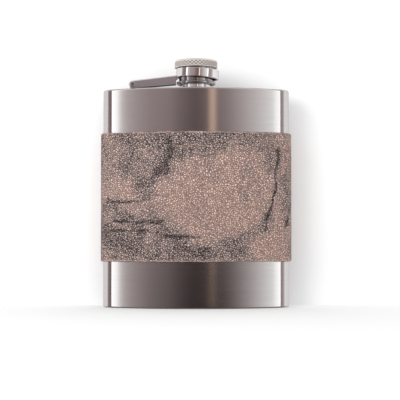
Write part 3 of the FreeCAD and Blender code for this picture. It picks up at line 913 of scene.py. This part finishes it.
@dataclass
class SeamStitches:
    """Slanted stitches of twisted thread that pull the two ends of the wrap together."""

    radius: float = 0.3
    strands: int = 3
    count: int = 16
    rise: float = 1.6
    dip: float = 0.55
    twist_depth: float = 0.12
    twist: float = 9.0
    rings: int = 25
    sectors: int = 12

    def build(self) -> bpy.types.Object:
        """Each stitch is a thread along a shallow arch: its ends dip into the leather, and two
        waves of its radius round the axis make the twist.

        Returns:
            The stitches, as one piece.
        """
        low, high = (np.array(corner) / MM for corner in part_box("seam_thread"))
        count = self.count
        pitch = (high[2] - low[2] - self.rise - 2 * self.radius) / (count - 1)
        reach = (high[0] - low[0]) / 2 - self.radius
        surface = low[1]
        share = np.linspace(-1.0, 1.0, self.rings)
        around = np.linspace(0.0, 2 * math.pi, self.sectors, endpoint=False)
        turn, at = np.meshgrid(around, share)
        strand = 1.0 + self.twist_depth * np.cos(self.strands * turn - self.twist * at)
        taper = np.sqrt(np.clip(1.0 - 0.9 * np.abs(at) ** 8, 0.0, 1.0))
        thick = self.radius * strand * taper
        arch = surface + self.radius - self.dip * self.radius * at ** 4
        first = np.arange(count)[:, None, None] * pitch + low[2] + self.radius
        x = np.broadcast_to(reach * at, (count, *at.shape))
        y = np.broadcast_to(arch + thick * np.cos(turn), (count, *at.shape))
        z = first + self.rise * (at + 1) / 2 + thick * np.sin(turn)
        points = np.stack([x, y, z], axis=-1).reshape(-1, 3)
        sides, size = grid_faces(self.rings, self.sectors, False, True), at.size
        ends = np.array([range(self.sectors), range(size - 1, size - self.sectors - 1, -1)])
        faces = [face for start in range(0, count * size, size)
                 for face in (sides + start).tolist() + (ends + start).tolist()]
        return make_piece("seam_stitches", points, faces, Body.FLASK, Thread("waxed_thread"),
                          "seam_thread", sharp=70.0)


# ---- the arm and the cap ----


@dataclass
class CaptiveArm:
    """The folded arm, its rivet and the loose collar."""

    folded: Steel = Steel("folded_arm", tint=(0.78, 0.755, 0.8), roughness=0.3, anisotropy=0.0,
                          line_stretch=(0.05, 1.0, 1.0), bare=0.94)
    polished: Steel = Steel("polished_collar", tint=(0.88, 0.85, 0.85), roughness=0.065, anisotropy=0.4,
                            line_stretch=(0.1, 0.1, 1.0), line_tone=0.06)
    rivet: Steel = Steel("polished_rivet", tint=(0.8, 0.785, 0.77), roughness=0.14, anisotropy=0.0)

    def build(self) -> None:
        """Dresses the arm."""
        dress("hinge_arm", self.folded)
        dress("arm_collar", self.polished)
        dress("hinge_pin", self.rivet)


@dataclass
class ScrewCap:
    """The threaded insert, its gasket and the knurled grip pressed over it."""

    inner_radius: float = 8.6
    top_thickness: float = 0.7
    top_round: float = 0.8
    lower_chamfer: float = 0.25
    diamonds: int = 34
    rows: float = 1.75
    knurl_depth: float = 0.3
    knurl_runout: float = 0.35
    steps_per_diamond: int = 18
    side_steps: int = 30
    top_steps: int = 7
    # Painted shade: the tint is kept dark so that the waist and lip under the collar look shadowed.
    turned: Steel = Steel("turned_insert_painted_shade", tint=(0.4, 0.388, 0.384), roughness=0.15, anisotropy=0.75,
                          line_stretch=(0.1, 0.1, 1.0))

    def build(self) -> None:
        """Builds the grip, and dresses the rest."""
        dress("cap_insert", self.turned)
        dress("cap_gasket", Silicone("milky_silicone"))
        self.grip()

    def lid(self, radius: float, base: float, top: float) -> np.ndarray:
        """The lid's section: radius and height, from inside under its top, down its inner wall, up
        the outer side, over the rounded shoulder and in along the top.

        Args:
            radius: its outside.
            base: its lower end.
            top: its upper end.

        Returns:
            The points, in millimetres, without the two on the axis.
        """
        ceiling, side_high = top - self.top_thickness, top - self.top_round
        side = np.linspace(base + self.lower_chamfer, side_high, self.side_steps)
        bend = np.linspace(0.0, math.pi / 2, 8)[1:]
        start = [(self.inner_radius * 0.5, ceiling), (self.inner_radius, ceiling), (self.inner_radius, base)]
        rim = [(radius - self.lower_chamfer, base)]
        wall = np.stack([np.full_like(side, radius), side], axis=1)
        shoulder = np.stack([radius - self.top_round * (1 - np.cos(bend)),
                             side_high + self.top_round * np.sin(bend)], axis=1)
        inward = np.linspace(radius - self.top_round, 0.0, self.top_steps + 2)[1:-1]
        flat = np.stack([inward, np.full_like(inward, top)], axis=1)
        return np.concatenate([start, rim, wall, shoulder, flat])

    def grip(self) -> bpy.types.Object:
        """A lid turned about its axis. Its side carries raised diamonds: two crossed sets of
        slanted grooves, each a triangle wave, cut down from the full radius.

        Returns:
            The grip.
        """
        low, high = (np.array(corner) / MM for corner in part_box("cap_head"))
        centre = (low + high) / 2
        base, top = low[2], high[2]
        side_low, side_high = base + self.lower_chamfer, top - self.top_round
        profile = self.lid((high[0] - low[0]) / 2, base, top)

        count = self.diamonds * self.steps_per_diamond
        angle = np.linspace(0.0, 2 * math.pi, count, endpoint=False)[:, None]
        r, z = profile[None, :, 0], profile[None, :, 1]
        across = angle * self.diamonds / (2 * math.pi)
        up = (z - side_low) / (side_high - side_low) * self.rows
        groove = np.maximum(self.ridge(across + up), self.ridge(across - up))
        carved = ease(z, base, side_low) * (1 - ease(z, side_high, side_high + self.knurl_runout))
        outer = r > self.inner_radius + 0.1
        cut = groove * carved * outer
        r = r - self.knurl_depth * cut
        x, y = centre[0] + r * np.cos(angle), centre[1] + r * np.sin(angle)
        points = np.stack([x, y, np.broadcast_to(z, r.shape)], axis=-1)
        faces = grid_faces(*r.shape, True, False)
        total = r.size
        ring = np.arange(count) * len(profile)
        following = np.roll(ring, -1)
        inner_pole = np.stack([ring, np.full(count, total), following], axis=1)
        last = len(profile) - 1
        outer_pole = np.stack([ring + last, following + last, np.full(count, total + 1)], axis=1)
        poles = np.array([[centre[0], centre[1], top - self.top_thickness], [centre[0], centre[1], top]])
        every = faces.tolist() + inner_pole.tolist() + outer_pole.tolist()
        knurled = KnurledSteel("knurled_grip", tint=(0.78, 0.76, 0.74), roughness=0.3, anisotropy=0.0)
        shown = np.where(carved * outer > 0.05, cut, -1.0).ravel()
        cuts = {"groove": np.append(shown, [-1.0, -1.0])}
        return make_piece("knurled_grip", np.concatenate([points.reshape(-1, 3), poles]), every, Body.CAP,
                          knurled, "cap_head", cuts, sharp=35.0)

    @staticmethod
    def ridge(phase: np.ndarray) -> np.ndarray:
        """A triangle wave that is 1 at whole numbers and 0 halfway between them."""
        return np.abs(2 * (phase - np.floor(phase)) - 1)


# ---- the studio ----


@dataclass
class Studio:
    """A light tent: a floor and a board behind the flask, a soft key light, and a ring of walls
    whose tones show in the steel."""

    aim_height: float = 0.0545
    aim_across: float = 0.002
    camera_distance: float = 0.576
    camera_below: float = 1.5
    field_of_view: float = 20.0
    sensor: float = 36.0
    board_y: float = 0.019
    board_tone: float = 0.83
    floor_tone: float = 0.71
    ambient: float = 1.28
    key_power: float = 4.2
    key_place: tuple[float, float, float] = (-0.62, -0.72, 0.42)
    key_aim: tuple[float, float, float] = (0.0, 0.0, 0.06)
    key_size: float = 0.55
    sun: Colour = (1.52, 1.07, 0.8)
    roof: Colour = (0.75, 0.73, 0.73)
    ground: Colour = (0.19, 0.182, 0.178)

    # Angles in degrees, for the tent. Below the horizon the walls darken round the dip's bearing
    # and come back over its right and left sides. The sun is a strip with soft edges.
    dip_bearing: float = 9.0
    dip_right: float = 48.0
    dip_left: float = 80.0
    horizon: Span = (-1.5, 4.5)
    sun_bearing: float = 11.2
    sun_edge: Span = (4.0, 0.4)
    sun_foot: Span = (2.5, 6.0)
    sun_head: Span = (15.0, 8.0)
    roof_edge: Span = (24.0, 55.0)
    ground_edge: Span = (-20.0, -38.0)

    # Tones of the tent's walls by bearing in degrees, 0 towards the camera and 90 to the right.
    WALLS: ClassVar[tuple[Span, ...]] = (
        (-180, 0.3), (-150, 0.85), (-97, 0.95), (-88, 0.34), (-70, 0.22), (-64, 0.4), (-61.2, 2.0),
        (-58.3, 1.9), (-56.3, 1.2), (-54, 0.78), (-50, 0.61), (-43, 0.51), (-33, 0.42), (-18, 0.38),
        (-12, 0.29), (-1, 0.19), (4, 0.22), (8.5, 0.27), (11.2, 0.31), (14, 0.32), (22, 0.42),
        (30, 0.56), (43, 0.75), (55, 0.95), (57.5, 1.3), (59.3, 2.2), (60.2, 2.1), (62.2, 0.33),
        (84, 0.5), (97, 1.0), (150, 0.85), (180, 0.3),
    )

    def build(self) -> None:
        """Makes the tent, the light and the camera."""
        bpy.context.scene.view_settings.view_transform = "Standard"
        self.tent()
        self.floor_and_board()
        self.key_light()
        self.camera()

    @staticmethod
    def tone(level: float) -> Colour:
        """Dark walls are a little warm, and bright ones neutral."""
        cool = level * min(0.66 + 0.36 * min(1.0, level), 1.0)
        return (level, cool, cool)

    def tent(self) -> None:
        """Metal sees the walls, matt surfaces an even glow, and the camera plain white. The walls
        are a ring of tones by bearing, with a dark dip low down, a sunlit strip, a roof and a ground."""
        world = bpy.data.worlds.new("tent")
        bpy.context.scene.world = world
        world.use_nodes = True
        world.cycles.sampling_method = "NONE"
        graph = Graph(world.node_tree)
        direction = graph.node("ShaderNodeTexCoord", output="Generated")
        x = graph.node("ShaderNodeSeparateXYZ", {}, {0: direction}, "X")
        y, z = (Wire(graph, x.socket.node.outputs[axis]) for axis in "YZ")
        bearing = graph.math("ARCTAN2", x, y * -1.0) * math.degrees(1.0)
        height = graph.math("ARCSINE", z) * math.degrees(1.0)
        stops = [((at + 180.0) / 360.0, self.tone(level)) for at, level in self.WALLS]
        ring = graph.node("ShaderNodeValToRGB", {"stops": stops}, {"Fac": (bearing + 180.0) / 360.0}, "Color")
        right = (bearing - self.dip_bearing) / self.dip_right
        left = (self.dip_bearing - bearing) / self.dip_left
        aside = graph.math("MAXIMUM", right, left).smooth(0.08, 1.0)
        shade = aside + (1.0 - aside) * height.smooth(*self.horizon)
        grey = graph.node("ShaderNodeCombineXYZ", {}, {0: shade, 1: shade, 2: shade})
        strip = graph.math("ABSOLUTE", bearing - self.sun_bearing).smooth(*self.sun_edge)
        sunlit = strip * height.smooth(*self.sun_foot) * height.smooth(*self.sun_head)
        warm = graph.mix(sunlit, ring, self.sun)
        walls = graph.mix(1.0, warm, grey, Blend.MULTIPLY)
        roof = graph.mix(height.smooth(*self.roof_edge), walls, self.roof)
        ground = graph.mix(height.smooth(*self.ground_edge), roof, self.ground)
        path = graph.node("ShaderNodeLightPath", output="Is Camera Ray")
        glossy = Wire(graph, path.socket.node.outputs["Is Glossy Ray"])
        seen = graph.mix(glossy, (self.ambient,) * 3, ground)
        plain = graph.mix(path, seen, (1.0, 1.0, 1.0))
        background = graph.node("ShaderNodeBackground", {}, {"Color": plain, "Strength": 1.0})
        graph.node("ShaderNodeOutputWorld", {}, {"Surface": background})

    @staticmethod
    def paper(name: str, tone: float) -> bpy.types.Material:
        """White paper that can be seen from its front only.

        Args:
            name: the material's name.
            tone: how much light it gives back.

        Returns:
            The material.
        """
        made = bpy.data.materials.new(name)
        made.use_nodes = True
        graph = Graph(made.node_tree)
        sheet = graph.node("ShaderNodeBsdfDiffuse", {}, {"Color": (tone, tone, tone, 1.0)})
        clear = graph.node("ShaderNodeBsdfTransparent")
        behind = graph.node("ShaderNodeNewGeometry", output="Backfacing")
        shown = graph.node("ShaderNodeMixShader", {}, {0: behind, 1: sheet, 2: clear})
        graph.node("ShaderNodeOutputMaterial", {}, {"Surface": shown})
        return made

    def floor_and_board(self) -> None:
        """A wide floor under the flask, and a board just behind it that only the camera sees."""
        wide = 3.0
        floor = [(-wide, -wide, 0.0), (wide, -wide, 0.0), (wide, wide, 0.0), (-wide, wide, 0.0)]
        y = self.board_y
        board = [(-wide, y, 0.0), (wide, y, 0.0), (wide, y, wide), (-wide, y, wide)]
        for name, corners, tone in (("floor", floor, self.floor_tone), ("board", board, self.board_tone)):
            mesh = bpy.data.meshes.new(name)
            mesh.from_pydata(corners, [], [[0, 1, 2, 3]])
            mesh.materials.append(self.paper(name + "_paper", tone))
            plane = bpy.data.objects.new(name, mesh)
            bpy.context.scene.collection.objects.link(plane)
            plane.visible_glossy = False
            if name == "board":
                plane.visible_diffuse = False
                plane.visible_shadow = False

    def key_light(self) -> None:
        """A soft box high on the left, in front."""
        light = bpy.data.lights.new("key", "AREA")
        light.shape = "DISK"
        light.size = self.key_size
        light.energy = self.key_power
        lamp = bpy.data.objects.new("key", light)
        lamp.location = self.key_place
        aim = Vector(self.key_aim) - lamp.location
        lamp.rotation_euler = aim.to_track_quat("-Z", "Y").to_euler()
        lamp.visible_glossy = False
        lamp.visible_camera = False
        bpy.context.scene.collection.objects.link(lamp)

    def camera(self) -> None:
        """A little under the middle of the flask and square to its front."""
        lens = bpy.data.cameras.new("camera")
        lens.sensor_width = self.sensor
        lens.lens = self.sensor / 2 / math.tan(math.radians(self.field_of_view / 2))
        lens.clip_start = 0.01
        lens.clip_end = 20.0
        camera = bpy.data.objects.new("camera", lens)
        below = math.radians(self.camera_below)
        drop = self.camera_distance * math.sin(below)
        camera.location = (self.aim_across, -self.camera_distance * math.cos(below), self.aim_height - drop)
        camera.rotation_euler = (math.pi / 2 + below, 0.0, 0.0)
        bpy.context.scene.collection.objects.link(camera)
        bpy.context.scene.camera = camera


def main() -> None:
    """Builds the flask and its studio."""
    logging.basicConfig(level=logging.INFO, format="%(name)s: %(message)s")
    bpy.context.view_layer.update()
    shell_low, shell_high = (np.array(corner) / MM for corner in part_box("body_shell"))
    wrap_low, wrap_high = (np.array(corner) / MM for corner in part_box("leather_wrap"))
    size = shell_high - shell_low
    section = Section(float(size[0]), float(size[1]))
    SteelBody().build()
    LeatherWrap(section, float(wrap_low[2]), float(wrap_high[2] - wrap_low[2])).build()
    SeamStitches().build()
    CaptiveArm().build()
    ScrewCap().build()
    Studio().build()


if __name__ == "__main__":
    main()
